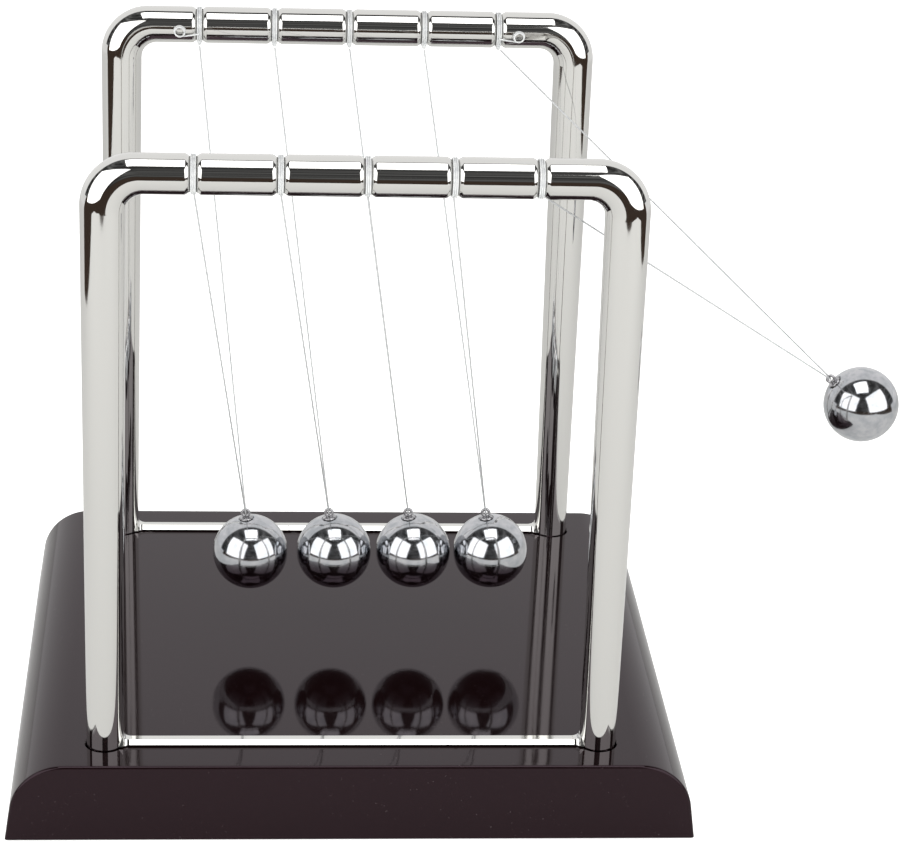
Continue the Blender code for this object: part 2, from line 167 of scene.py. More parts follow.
# Lines
LINE_DIAMETER = 0.45 * MM
LINE_STEPS = 12
BEND_STEPS = 6
BEND_RADIUS = RING_WIRE + LINE_DIAMETER / 2.0 + GAP
LINE_RISE = BAR_Z - WIRE_Z
LINE_REACH = FRAME_Y["rear"]
LINE_ANGLE = (np.arctan2(LINE_REACH, LINE_RISE)
              - np.arcsin(BEND_RADIUS / np.hypot(LINE_REACH, LINE_RISE)))
LOOP_RADIUS = 4.725 * MM
KNOT_DISTANCE = 5.2 * MM
KNOT_RADIUS = 0.62 * MM
KNOT_HALF_ANGLE = 0.26
KNOT_STEPS = 25
TURN_STEP = 0.46 * MM
TURN_STEPS = 60
TURN_SIDES = 12
TURN_SHARP_DEGREES = 60.0
LINE_TAILS = {("rear", 1), ("rear", 5)}
TAIL_REACH = 5.4 * MM
TAIL_CURL = 1.55 * MM
TAIL_EASE = 0.05  # share of the curl's radius lost in each half turn
TAIL_TILT = np.radians(-4.0)
TAIL_FROM = -0.5 * np.pi
TAIL_TO = 3.3 * np.pi
TAIL_STEPS = 64
TAIL_LIFT = 0.35 * MM  # from the bar's face to the curl
TAIL_STACK = 0.11 * MM  # rise for each radian of the curl
TAIL_SINK = 0.3 * MM  # from the loop's radius to the tail's start
TAIL_DROP = 0.6  # how far below the bar's middle it starts, in curl radii
TAIL_ARCH = 0.3 * MM  # bow of the run up to the curl
LEAD_STEPS = 10
TUBE_SIDES = 10
TUBE_SIDEWAYS = (0.0, 1.0, 0.35)  # a direction that no tail runs along

# Studio
FLOOR = 12.0
# Edges and fade distances of a sheet that is painted into the table's mirror image only
PAINTED_SHEET_LEFT = -0.44
PAINTED_SHEET_RIGHT = 0.49
PAINTED_SHEET_FRONT = -0.52
PAINTED_SHEET_BACK = 0.03
PAINTED_SHEET_NEAR = 0.5
PAINTED_SHEET_FAR = 0.9
WHITE = "#ffffff"
CAMERA_WHITE = 1.02
AIM_HEIGHT = 0.08
SIDE_RADIANCE = 2.3
OVERHEAD_RADIANCE = 3.0


# ---------------------------------------------------------------- camera

def add_camera():
    """The camera looks along its yaw about Z and its tilt below the horizon, rolled about that."""
    sy, cy = np.sin(CAMERA_YAW), np.cos(CAMERA_YAW)
    st, ct = np.sin(CAMERA_TILT), np.cos(CAMERA_TILT)
    sr, cr = np.sin(CAMERA_ROLL), np.cos(CAMERA_ROLL)
    ahead = Vector((-sy * ct, cy * ct, -st))
    level = Vector((cy, sy, 0.0))
    above = level.cross(ahead)
    right = level * cr + above * sr
    up = above * cr - level * sr
    data = bpy.data.cameras.new("camera")
    data.sensor_width = SENSOR_WIDTH
    data.lens = FOCAL_PIXELS * SENSOR_WIDTH / IMAGE_WIDTH
    data.clip_start = CLIP_NEAR
    data.clip_end = CLIP_FAR
    camera = bpy.data.objects.new("camera", data)
    bpy.context.scene.collection.objects.link(camera)
    camera.matrix_world = Matrix((
        (right.x, up.x, -ahead.x, CAMERA_PLACE[0]),
        (right.y, up.y, -ahead.y, CAMERA_PLACE[1]),
        (right.z, up.z, -ahead.z, CAMERA_PLACE[2]),
        (0.0, 0.0, 0.0, 1.0),
    ))
    bpy.context.scene.camera = camera


# ---------------------------------------------------------------- finishes

def linear(code):
    """An sRGB hex colour as linear RGBA."""
    parts = [int(code[i:i + 2], 16) / 255.0 for i in (1, 3, 5)]
    light = [c / 12.92 if c <= 0.04045 else ((c + 0.055) / 1.055) ** 2.4 for c in parts]
    return tuple(light) + (1.0,)


def add_node(tree, kind, inputs=None, stops=(), **settings):
    """Adds a node: inputs are values or sockets, stops are a ramp's (position, hex) pairs."""
    made = tree.nodes.new("ShaderNode" + kind)
    for name, value in settings.items():
        setattr(made, name, value)
    for name, value in (inputs or {}).items():
        if isinstance(value, bpy.types.NodeSocket):
            tree.links.new(value, made.inputs[name])
        else:
            made.inputs[name].default_value = value
    for number, (position, colour) in enumerate(stops):
        if number >= len(made.color_ramp.elements):
            made.color_ramp.elements.new(position)
        made.color_ramp.elements[number].position = position
        made.color_ramp.elements[number].color = linear(colour)
    return made


def new_finish(name, colour, **sockets):
    """A Principled finish with its constants on the shader's own sockets."""
    material = bpy.data.materials.new(name)
    material.use_nodes = True
    tree = material.node_tree
    shader = tree.nodes["Principled BSDF"]
    shader.inputs["Base Color"].default_value = linear(colour)
    for socket, value in sockets.items():
        shader.inputs[socket.replace("_", " ")].default_value = value
    return material, tree, shader


def chrome_plated_abs():
    """Bright chrome over moulded ABS: a mirror with a faint haze and the moulding's slow waves."""
    material, tree, shader = new_finish("bright_chrome_on_abs", "#d9d8d5", Metallic=1.0)
    place = add_node(tree, "TexCoord").outputs["Object"]
    haze = add_node(tree, "TexNoise", {"Vector": place, "Scale": PER_MM / 6.0, "Detail": 4.0})
    rough = add_node(tree, "MapRange",
                     {"Value": haze.outputs["Fac"], "To Min": 0.02, "To Max": 0.07})
    waves = add_node(tree, "TexNoise", {"Vector": place, "Scale": PER_MM / 9.0, "Detail": 1.0})
    relief = add_node(tree, "Bump",
                      {"Height": waves.outputs["Fac"], "Strength": 0.1, "Distance": 0.2 * MM})
    tree.links.new(rough.outputs["Result"], shader.inputs["Roughness"])
    tree.links.new(relief.outputs["Normal"], shader.inputs["Normal"])
    return material


def bearing_steel():
    """Ground and polished ball steel: a darker, cooler mirror than chrome, with fine marks."""
    material, tree, shader = new_finish("polished_bearing_steel", "#bbbcbf", Metallic=1.0)
    place = add_node(tree, "TexCoord").outputs["Object"]
    haze = add_node(tree, "TexNoise", {"Vector": place, "Scale": PER_MM / 2.5, "Detail": 6.0})
    tint = add_node(tree, "ValToRGB", {"Fac": haze.outputs["Fac"]},
                    [(0.35, "#a9acb0"), (0.65, "#c1c1c4")])
    rough = add_node(tree, "MapRange",
                     {"Value": haze.outputs["Fac"], "To Min": 0.06, "To Max": 0.17})
    marks = add_node(tree, "TexNoise", {"Vector": place, "Scale": PER_MM / 0.35, "Detail": 3.0})
    relief = add_node(tree, "Bump",
                      {"Height": marks.outputs["Fac"], "Strength": 0.08, "Distance": 0.02 * MM})
    tree.links.new(tint.outputs["Color"], shader.inputs["Base Color"])
    tree.links.new(rough.outputs["Result"], shader.inputs["Roughness"])
    tree.links.new(relief.outputs["Normal"], shader.inputs["Normal"])
    return material


def moulded_abs():
    """Dark brown ABS from a polished tool: a deep, faintly violet gloss with dust motes on it."""
    material, tree, shader = new_finish("moulded_brown_abs", "#13090a", IOR=1.355)
    shader.inputs["Specular Tint"].default_value = linear("#ffdff2")
    place = add_node(tree, "TexCoord").outputs["Object"]
    mist = add_node(tree, "TexNoise", {"Vector": place, "Scale": PER_MM / 30.0, "Detail": 3.0})
    patch = add_node(tree, "MapRange",
                     {"Value": mist.outputs["Fac"], "From Min": 0.42, "From Max": 0.7})
    specks = add_node(tree, "TexNoise", {"Vector": place, "Scale": PER_MM / 0.6, "Detail": 2.0})
    mote = add_node(tree, "MapRange",
                    {"Value": specks.outputs["Fac"], "From Min": 0.73, "From Max": 0.80})
    dust = add_node(tree, "Math", {0: mote.outputs["Result"], 1: patch.outputs["Result"]},
                    operation="MULTIPLY")
    body = add_node(tree, "ValToRGB", {"Fac": dust.outputs["Value"]},
                    [(0.0, "#13090a"), (1.0, "#6f6667")])
    film = add_node(tree, "MapRange",
                    {"Value": mist.outputs["Fac"], "To Min": 0.03, "To Max": 0.07})
    rough = add_node(tree, "Math", {0: film.outputs["Result"], 1: dust.outputs["Value"]},
                     operation="ADD")
    tree.links.new(body.outputs["Color"], shader.inputs["Base Color"])
    tree.links.new(rough.outputs["Value"], shader.inputs["Roughness"])
    return material


def nickel_plate():
    """Bright nickel on brass: a grey mirror, slightly dulled and mottled by handling."""
    material, tree, shader = new_finish("bright_nickel_on_brass", "#aeadb0", Metallic=1.0)
    place = add_node(tree, "TexCoord").outputs["Object"]
    dull = add_node(tree, "TexNoise", {"Vector": place, "Scale": PER_MM / 0.8, "Detail": 4.0})
    tint = add_node(tree, "ValToRGB", {"Fac": dull.outputs["Fac"]},
                    [(0.35, "#8f8e90"), (0.65, "#bab9bc")])
    rough = add_node(tree, "MapRange",
                     {"Value": dull.outputs["Fac"], "To Min": 0.15, "To Max": 0.35})
    tree.links.new(tint.outputs["Color"], shader.inputs["Base Color"])
    tree.links.new(rough.outputs["Result"], shader.inputs["Roughness"])
    return material


def nylon_monofilament(name, dull, pale):
    """Clear drawn nylon line, a little milky, that varies between two tints along its length."""
    material, tree, shader = new_finish(name, dull, IOR=1.53, Subsurface_Weight=0.1,
                                        Subsurface_Scale=0.8 * MM)
    shader.inputs["Subsurface Radius"].default_value = (1.0, 1.0, 1.0)
    place = add_node(tree, "TexCoord").outputs["Object"]
    draw = add_node(tree, "TexNoise", {"Vector": place, "Scale": PER_MM / 1.5, "Detail": 2.0})
    tint = add_node(tree, "ValToRGB", {"Fac": draw.outputs["Fac"]}, [(0.3, dull), (0.7, pale)])
    rough = add_node(tree, "MapRange",
                     {"Value": draw.outputs["Fac"], "To Min": 0.15, "To Max": 0.3})
    tree.links.new(tint.outputs["Color"], shader.inputs["Base Color"])
    tree.links.new(rough.outputs["Result"], shader.inputs["Roughness"])
    return material


def zinc_plated_steel():
    """Zinc-plated steel: a dull silver with the soft cloudiness of the plating bath."""
    material, tree, shader = new_finish("zinc_plated_steel", "#b7babd", Metallic=1.0)
    place = add_node(tree, "TexCoord").outputs["Object"]
    cloud = add_node(tree, "TexNoise", {"Vector": place, "Scale": PER_MM / 3.0, "Detail": 4.0})
    tint = add_node(tree, "ValToRGB", {"Fac": cloud.outputs["Fac"]},
                    [(0.3, "#a6aaae"), (0.7, "#c6c8ca")])
    rough = add_node(tree, "MapRange",
                     {"Value": cloud.outputs["Fac"], "To Min": 0.25, "To Max": 0.45})
    tree.links.new(tint.outputs["Color"], shader.inputs["Base Color"])
    tree.links.new(rough.outputs["Result"], shader.inputs["Roughness"])
    return material


def textured_abs():
    """Black ABS moulded in a spark-eroded tool: a fine even grain that scatters the light."""
    material, tree, shader = new_finish("spark_textured_black_abs", "#19191a", IOR=1.5)
    place = add_node(tree, "TexCoord").outputs["Object"]
    grain = add_node(tree, "TexNoise", {"Vector": place, "Scale": PER_MM / 0.4, "Detail": 2.0})
    rough = add_node(tree, "MapRange",
                     {"Value": grain.outputs["Fac"], "To Min": 0.42, "To Max": 0.6})
    relief = add_node(tree, "Bump",
                      {"Height": grain.outputs["Fac"], "Strength": 0.4, "Distance": 0.05 * MM})
    tree.links.new(rough.outputs["Result"], shader.inputs["Roughness"])
    tree.links.new(relief.outputs["Normal"], shader.inputs["Normal"])
    return material


def pressed_felt():
    """Pressed black felt: matted fibres, drawn coarser than real ones so that they show."""
    material, tree, shader = new_finish("pressed_black_felt", "#1a1a1b", Roughness=0.95,
                                        Sheen_Weight=0.3)
    place = add_node(tree, "TexCoord").outputs["Object"]
    along = add_node(tree, "Mapping",
                     {"Vector": place, "Scale": (1.0, 0.35, 1.0)}).outputs["Vector"]
    fibres = add_node(tree, "TexNoise", {"Vector": along, "Scale": PER_MM / 0.7, "Detail": 6.0})
    tint = add_node(tree, "ValToRGB", {"Fac": fibres.outputs["Fac"]},
                    [(0.3, "#111112"), (0.7, "#29292b")])
    relief = add_node(tree, "Bump",
                      {"Height": fibres.outputs["Fac"], "Strength": 0.7, "Distance": 0.15 * MM})
    tree.links.new(tint.outputs["Color"], shader.inputs["Base Color"])
    tree.links.new(relief.outputs["Normal"], shader.inputs["Normal"])
    return material


# ---------------------------------------------------------------- surfaces

def grid_faces(rows, columns, closed):
    """Corner numbers of the quads between neighbouring rows; each row is a closed ring."""
    row = np.arange(rows if closed else rows - 1)[:, None]
    column = np.arange(columns)[None, :]
    beyond = (row + 1) % rows
    beside = (column + 1) % columns
    corners = [row * columns + column, row * columns + beside, beyond * columns + beside,
               beyond * columns + column]
    return np.stack([c + 0 * row * column for c in corners], axis=-1).reshape(-1, 4)


def skin(name, rings, closed=False):
    """A mesh over an array of rings (stations, points round, 3), capped at its ends or closed."""
    count, size = rings.shape[:2]
    faces = [tuple(f) for f in grid_faces(count, size, closed).tolist()]
    if not closed:
        faces.append(tuple(range(size))[::-1])
        faces.append(tuple(range((count - 1) * size, count * size)))
    mesh = bpy.data.meshes.new(name)
    mesh.from_pydata(rings.reshape(-1, 3).tolist(), [], faces)
    work = bmesh.new()
    work.from_mesh(mesh)
    bmesh.ops.remove_doubles(work, verts=work.verts, dist=WELD)
    bmesh.ops.recalc_face_normals(work, faces=work.faces)
    work.to_mesh(mesh)
    work.free()
    piece = bpy.data.objects.new(name, mesh)
    bpy.context.scene.collection.objects.link(piece)
    return piece


def combine(piece, other, operation):
    """Applies a Boolean of two closed meshes, merges its slivers and removes the tool."""
    modifier = piece.modifiers.new(operation, "BOOLEAN")
    modifier.operation = operation
    modifier.solver = "EXACT"
    modifier.object = other
    bpy.context.view_layer.update()
    evaluated = piece.evaluated_get(bpy.context.evaluated_depsgraph_get())
    result = bpy.data.meshes.new_from_object(evaluated)
    piece.modifiers.clear()
    work = bmesh.new()
    work.from_mesh(result)
    bmesh.ops.remove_doubles(work, verts=work.verts, dist=MERGE)
    bmesh.ops.dissolve_degenerate(work, edges=work.edges, dist=MERGE)
    work.to_mesh(result)
    work.free()
    old = piece.data
    piece.data = result
    bpy.data.meshes.remove(old)
    bpy.data.objects.remove(other)


def smooth(piece, sharp_degrees=SHARP_DEGREES):
    """Smooth shading that keeps flat faces flat and splits at edges over the given angle."""
    piece.data.shade_smooth()
    piece.data.set_sharp_from_angle(angle=np.radians(sharp_degrees))
    modifier = piece.modifiers.new("even_normals", "WEIGHTED_NORMAL")
    modifier.keep_sharp = True
    modifier.weight = NORMAL_WEIGHT


def dress(piece, material, body, node):
    """Gives a piece its finish, its body and the CAD node that it stands for."""
    piece.data.materials.clear()
    piece.data.materials.append(material)
    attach(piece, body)
    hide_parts(node)


def turned(name, profile, sides, centre=(0.0, 0.0)):
    """A (radius, height) profile turned about a vertical line: x = r cos t, y = r sin t."""
    radius, height = np.array(profile, float).T
    turn = np.linspace(0.0, TAU, sides, endpoint=False)
    x = centre[0] + radius[:, None] * np.cos(turn)
    y = centre[1] + radius[:, None] * np.sin(turn)
    return skin(name, np.stack([x, y, np.broadcast_to(height[:, None], x.shape)], axis=-1))


def join(name, pieces):
    """Puts the meshes of several pieces into the first of them."""
    work = bmesh.new()
    for piece in pieces:
        work.from_mesh(piece.data)
    work.to_mesh(pieces[0].data)
    work.free()
    for piece in pieces[1:]:
        bpy.data.objects.remove(piece)
    pieces[0].name = pieces[0].data.name = name
    return pieces[0]


def many_turned(name, profile, sides, places):
    """The same turned solid at several places, in one object."""
    return join(name, [turned(name, profile, sides, place) for place in places])


def quarter(steps):
    """Sines and cosines over a quarter turn."""
    turn = np.linspace(0.0, np.pi / 2.0, steps + 1)
    return np.sin(turn), np.cos(turn)


# ---------------------------------------------------------------- base

def end_outline(inset, bottom):
    """The base from the front: slanted sides, an arc of END_RADIUS tangent to each, a flat top.

    The arc's points are centre + radius (sin t, cos t), with t from a quarter turn less the lean
    down to 0.
    """
    radius = END_RADIUS - inset
    top = BASE_TOP - inset
    sweep = np.pi / 2.0 - END_LEAN
    foot_x = BASE_HIGH[0] - inset / np.cos(END_LEAN) + (RIM_BOTTOM - bottom) * np.tan(END_LEAN)
    meet_z = top - radius + radius * np.cos(sweep)
    centre_x = foot_x - (meet_z - bottom) * np.tan(END_LEAN) - radius * np.sin(sweep)
    turn = np.linspace(sweep, 0.0, END_STEPS + 1)
    x = np.concatenate([[foot_x], centre_x + radius * np.sin(turn)])
    z = np.concatenate([[bottom], top - radius + radius * np.cos(turn)])
    return np.concatenate([x, -x[::-1]]), np.concatenate([z, z[::-1]])


def base_loft(name, stations):
    """Outlines of (inset, bottom, depth) joined from the rear to the front."""
    rings = []
    for inset, bottom, depth in stations:
        x, z = end_outline(inset, bottom)
        rings.append(np.stack([x, np.full_like(x, depth), z], axis=-1))
    return skin(name, np.array(rings))


def moulded_base(material):
    """The base: a loft with rounded edges, hollowed from below, with sockets and posts inside."""
    half = BASE_HIGH[1]
    sines, cosines = quarter(EDGE_STEPS)
    stations = [(EDGE_RADIUS * (1.0 - s), RIM_BOTTOM, half - EDGE_RADIUS * (1.0 - c))
                for s, c in zip(sines, cosines)]
    stations.append((0.0, RIM_BOTTOM, half - EDGE_RUN))
    stations += [(inset, bottom, -depth) for inset, bottom, depth in reversed(stations)]
    base = base_loft("moulded_base", stations)
    hollow = base_loft("hollow", [(WALL, -PAST, half - WALL), (WALL, -PAST, WALL - half)])
    combine(base, hollow, "DIFFERENCE")
    leg_x = LEG_OUTER_X - LEG_FOOT_RADIUS
    legs = [(side * leg_x, y) for y in FRAME_Y.values() for side in MIRRORED]
    posts = [(side * POST_X, end * POST_Y) for end in MIRRORED for side in MIRRORED]
    inside = BASE_TOP - WALL / 2.0
    sockets = [(0.0, SOCKET_BOTTOM), (SOCKET_RADIUS, SOCKET_BOTTOM),
               (SOCKET_RADIUS, inside), (0.0, inside)]
    combine(base, many_turned("sockets", sockets, SOCKET_SIDES, legs), "UNION")
    foot = COVER_TOP + GAP
    columns = [(0.0, foot), (POST_RADIUS, foot), (POST_RADIUS, inside), (0.0, inside)]
    combine(base, many_turned("posts", columns, POST_SIDES, posts), "UNION")
    below, floor, above = SOCKET_BOTTOM - PAST, SOCKET_BOTTOM + SOCKET_FLOOR, BASE_TOP + PAST
    fit = LEG_FOOT_RADIUS + GAP
    mouth = fit + SOCKET_CHAMFER
    holes = [(0.0, below), (LEG_BORE, below), (LEG_BORE, floor), (fit, floor),
             (fit, BASE_TOP - SOCKET_CHAMFER), (mouth, BASE_TOP), (mouth, above), (0.0, above)]
    combine(base, many_turned("leg_holes", holes, SOCKET_HOLE_SIDES, legs), "DIFFERENCE")
    low = COVER_TOP - PAST
    bores = [(0.0, low), (POST_BORE, low), (POST_BORE, POST_BORE_TOP), (0.0, POST_BORE_TOP)]
    combine(base, many_turned("post_bores", bores, BORE_SIDES, posts), "DIFFERENCE")
    smooth(base)
    dress(base, material, "stand", "base_shell")


# ---------------------------------------------------------------- frames

def bar_radius(x):
    """The bar's radius: a dip of GROOVE_DEPTH at each groove, with cosine shoulders."""
    away = np.min(np.abs(x[:, None] - np.array(GROOVE_X)[None, :]), axis=1)
    share = np.clip((away - GROOVE_FLOOR) / (GROOVE_HALF_WIDTH - GROOVE_FLOOR), 0.0, 1.0)
    return BAR_RADIUS - GROOVE_DEPTH * 0.5 * (1.0 + np.cos(np.pi * share))


def bar_stations(end_x):
    """X values from -end_x to end_x, close together across each groove and sparse between."""
    near = np.linspace(-GROOVE_HALF_WIDTH, GROOVE_HALF_WIDTH, GROOVE_STATIONS)
    values = [x + near for x in GROOVE_X]
    values.append(np.linspace(-end_x, end_x, BAR_STATIONS))
    return np.unique(np.round(np.concatenate(values), 6))


def hoop_rings():
    """Rings of the tube: up the right leg, round the corner, along the bar, and mirrored.

    A row of the path is the centre's x and z, the half widths a in the hoop's plane and b across
    it, and the tilt of a. A ring is centre + a cos t along the tilt and b sin t across.
    """
    leg_top = BAR_Z + BAR_RADIUS - CORNER_OUTER
    rising = np.linspace(BASE_TOP, leg_top - LEG_END, LEG_STATIONS)
    heights = np.concatenate([[LEG_BOTTOM], rising])
    share = np.clip((heights - BASE_TOP) / (leg_top - BASE_TOP), 0.0, 1.0)
    radius = LEG_FOOT_RADIUS + (LEG_TOP_RADIUS - LEG_FOOT_RADIUS) * share
    level = np.zeros_like(radius)
    leg = np.stack([LEG_OUTER_X - radius, heights, radius, radius, level], axis=-1)
    turn = np.linspace(0.0, np.pi / 2.0, CORNER_STATIONS)
    far = np.stack([LEG_OUTER_X - CORNER_OUTER + CORNER_OUTER * np.cos(turn),
                    leg_top + CORNER_OUTER * np.sin(turn)], axis=-1)
    inner_x = LEG_OUTER_X - 2.0 * LEG_TOP_RADIUS - CORNER_INNER
    inner_z = BAR_Z - BAR_RADIUS - CORNER_INNER
    near = np.stack([inner_x + CORNER_INNER * np.cos(turn),
                     inner_z + CORNER_INNER * np.sin(turn)], axis=-1)
    middle = (far + near) / 2.0
    reach = far - near
    half = np.hypot(reach[:, 0], reach[:, 1]) / 2.0
    ease = 0.5 - 0.5 * np.cos(2.0 * turn)
    across = LEG_TOP_RADIUS + (BAR_RADIUS - LEG_TOP_RADIUS) * ease
    slant = np.arctan2(reach[:, 1], reach[:, 0])
    corner = np.stack([middle[:, 0], middle[:, 1], half, across, slant], axis=-1)
    x = bar_stations(inner_x - BAR_END)
    depth = bar_radius(x)
    upright = np.full_like(x, np.pi / 2.0)
    bar = np.stack([x, np.full_like(x, BAR_Z), depth, depth, upright], axis=-1)[::-1]
    right = np.concatenate([leg, corner])
    left = right[::-1] * [-1.0, 1.0, 1.0, 1.0, -1.0] + [0.0, 0.0, 0.0, 0.0, np.pi]
    path = np.concatenate([right, bar, left])
    around = np.linspace(0.0, TAU, HOOP_SIDES, endpoint=False)
    inward = path[:, 2, None] * np.cos(around)
    tilt = path[:, 4, None]
    return np.stack([path[:, 0, None] + inward * np.cos(tilt),
                     path[:, 3, None] * np.sin(around),
                     path[:, 1, None] + inward * np.sin(tilt)], axis=-1)


def rail_rings():
    """The thin rail between the legs: flat on top, sloping at front and back, flared at each leg.

    Its half depth and its top grow by F (1 - root of (1 - c^2)), with c from 0 to 1 at the leg.
    """
    reach = LEG_OUTER_X - 2.0 * LEG_FOOT_RADIUS
    end = LEG_OUTER_X - LEG_FOOT_RADIUS
    flared = np.linspace(reach - RAIL_FLARE, reach, RAIL_STATIONS)
    x = np.unique(np.concatenate([[-end, end], flared, -flared,
                                  np.linspace(-reach, reach, RAIL_STATIONS)]))
    close = np.clip(1.0 - (reach - np.abs(x)) / RAIL_FLARE, 0.0, RAIL_FLARE_END)
    flare = RAIL_FLARE_SIZE * (1.0 - np.sqrt(1.0 - close ** 2))
    half = RAIL_DEPTH / 2.0 + flare[:, None]
    top = RAIL_HIGH + flare[:, None]
    y = np.concatenate([half, half, half - RAIL_SLOPE, RAIL_SLOPE - half, -half, -half], axis=1)
    low = np.full_like(top, RAIL_LOW)
    z = np.concatenate([low, low + RAIL_EDGE, top, top, low + RAIL_EDGE, low], axis=1)
    return np.stack([np.broadcast_to(x[:, None], y.shape), y, z], axis=-1)


def hoop(side, material):
    """One plated frame: legs, bar and rail in one skin, with a screw bore up each leg."""
    place = np.array([0.0, FRAME_Y[side], 0.0])
    piece = skin(side + "_hoop", hoop_rings() + place)
    combine(piece, skin("rail", rail_rings() + place), "UNION")
    low, high = LEG_BOTTOM - PAST, LEG_BOTTOM + LEG_BORE_DEPTH
    bore = [(0.0, low), (LEG_BORE, low), (LEG_BORE, high), (0.0, high)]
    legs = [(way * (LEG_OUTER_X - LEG_FOOT_RADIUS), FRAME_Y[side]) for way in MIRRORED]
    combine(piece, many_turned("bores", bore, BORE_SIDES, legs), "DIFFERENCE")
    smooth(piece)
    dress(piece, material, "stand", side + "_frame")


# ---------------------------------------------------------------- pendulums

def swung(points, number):
    """Points given about a plumb pendulum's pivot, turned to its swing and set at its pivot."""
    angle = np.radians(SWING_DEGREES[number - 1])
    c, s = np.cos(angle), np.sin(angle)
    x, y, z = np.moveaxis(np.asarray(points, float), -1, 0)
    pivot = PIVOTS["pendulum_%d" % number]
    return np.stack([pivot[0] + c * x - s * z, y, pivot[2] + s * x + c * z], axis=-1)


def swing_mesh(piece, number):
    """Turns a mesh made about a plumb pendulum's pivot to its place in the swing."""
    count = len(piece.data.vertices)
    points = np.empty(count * 3)
    piece.data.vertices.foreach_get("co", points)
    piece.data.vertices.foreach_set("co", swung(points.reshape(-1, 3), number).ravel())
    piece.data.update()


def steel_ball(number, material):
    """A ball of r = R sin t, z = -R cos t up to the eye's seat, then the seat and its hole."""
    centre = BALL_Z - PIVOT_Z
    start = np.arcsin(SEAT_RADIUS / BALL_RADIUS)
    turn = np.linspace(0.0, np.pi - start, BALL_STATIONS)
    outer = np.stack([BALL_RADIUS * np.sin(turn), centre - BALL_RADIUS * np.cos(turn)], axis=-1)
    seat = centre + BALL_RADIUS - SEAT_DEPTH
    hole = centre + BALL_RADIUS - EYE_HOLE_DEPTH
    inner = [(SEAT_RADIUS, seat), (EYE_HOLE, seat), (EYE_HOLE, hole), (0.0, hole)]
    piece = turned("steel_ball_%d" % number, np.concatenate([outer, inner]), BALL_SIDES)
    swing_mesh(piece, number)
    smooth(piece)
    dress(piece, material, "pendulum_%d" % number, "ball_%d" % number)


def wire_ring(height):
    """The eye's torus: x = (R + r cos a) sin t, y = r sin a, z = height + (R + r cos a) cos t."""
    turn = np.linspace(0.0, TAU, RING_STEPS, endpoint=False)[:, None]
    around = np.linspace(0.0, TAU, RING_SIDES, endpoint=False)[None, :]
    reach = RING_RADIUS + RING_WIRE * np.cos(around)
    x = reach * np.sin(turn)
    y = np.broadcast_to(RING_WIRE * np.sin(around), x.shape)
    return skin("ring", np.stack([x, y, height + reach * np.cos(turn)], axis=-1), closed=True)


def ball_eye(number, material):
    """A stud with a domed collar and a ring on its neck."""
    centre = BALL_Z - PIVOT_Z
    low = centre + COLLAR_LOW
    high = low + COLLAR_HEIGHT
    foot = centre + BALL_RADIUS - EYE_HOLE_DEPTH + GAP
    stud = EYE_HOLE - GAP
    sines, cosines = quarter(EDGE_STEPS)
    rounded = [(COLLAR_RADIUS - COLLAR_ROUND * (1.0 - c), high - COLLAR_ROUND * (1.0 - s))
               for s, c in zip(sines, cosines)]
    neck = centre + RING_CENTRE - RING_RADIUS
    profile = [(0.0, foot), (stud, foot), (stud, low), (COLLAR_RADIUS, low)] + rounded
    profile += [(radius, high + rise) for radius, rise in NECK_FLARE]
    profile += [(NECK_RADIUS, neck), (0.0, neck)]
    piece = turned("line_eye_%d" % number, profile, EYE_SIDES)
    combine(piece, wire_ring(centre + RING_CENTRE), "UNION")
    swing_mesh(piece, number)
    smooth(piece, EYE_SHARP_DEGREES)
    dress(piece, material, "pendulum_%d" % number, "ball_eye_%d" % number)


def line_route():
    """The line about its pivot: from the front knot, under the eye's ring, to the rear knot."""
    down = Vector((0.0, np.sin(LINE_ANGLE), -np.cos(LINE_ANGLE)))
    bar = Vector((0.0, -LINE_REACH, BAR_Z - PIVOT_Z))
    start = bar + (KNOT_DISTANCE + KNOT_RADIUS + GAP) * down
    wire = Vector((0.0, 0.0, WIRE_Z - PIVOT_Z))
    half_turn = np.pi / 2.0 - LINE_ANGLE
    bend = []
    for i in range(BEND_STEPS + 1):
        turn = half_turn * (2.0 * i / BEND_STEPS - 1.0)
        bend.append(wire + BEND_RADIUS * Vector((0.0, np.sin(turn), -np.cos(turn))))
    run = [start.lerp(bend[0], i / LINE_STEPS) for i in range(LINE_STEPS)]
    back = [Vector((p.x, -p.y, p.z)) for p in reversed(run)]
    return np.array([tuple(p) for p in run + bend + back])


def nylon_line(number, material):
    """A ball's line, taut between its two knots and through its eye."""
    route = swung(line_route(), number)
    curve = bpy.data.curves.new("nylon_line_%d" % number, "CURVE")
    curve.dimensions = "3D"
    curve.bevel_depth = LINE_DIAMETER / 2.0
    curve.bevel_resolution = 4
    curve.use_fill_caps = True
    spline = curve.splines.new("POLY")
    spline.points.add(len(route) - 1)
    spline.points.foreach_set("co", np.column_stack([route, np.ones(len(route))]).ravel())
    piece = bpy.data.objects.new(curve.name, curve)
    bpy.context.scene.collection.objects.link(piece)
    curve.materials.append(material)
    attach(piece, "pendulum_%d" % number)
    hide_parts("line_%d" % number)


def tube(name, path, radius):
    """A round section carried along a path: each ring is p + r (u cos t + v sin t).

    The directions u and v are square to the path.
    """
    ahead = np.gradient(path, axis=0)
    ahead /= np.linalg.norm(ahead, axis=1, keepdims=True)
    side = np.cross(ahead, TUBE_SIDEWAYS)
    side /= np.linalg.norm(side, axis=1, keepdims=True)
    above = np.cross(side, ahead)
    around = np.linspace(0.0, TAU, TUBE_SIDES, endpoint=False)[None, :, None]
    section = side[:, None, :] * np.cos(around) + above[:, None, :] * np.sin(around)
    return skin(name, path[:, None, :] + radius * section)


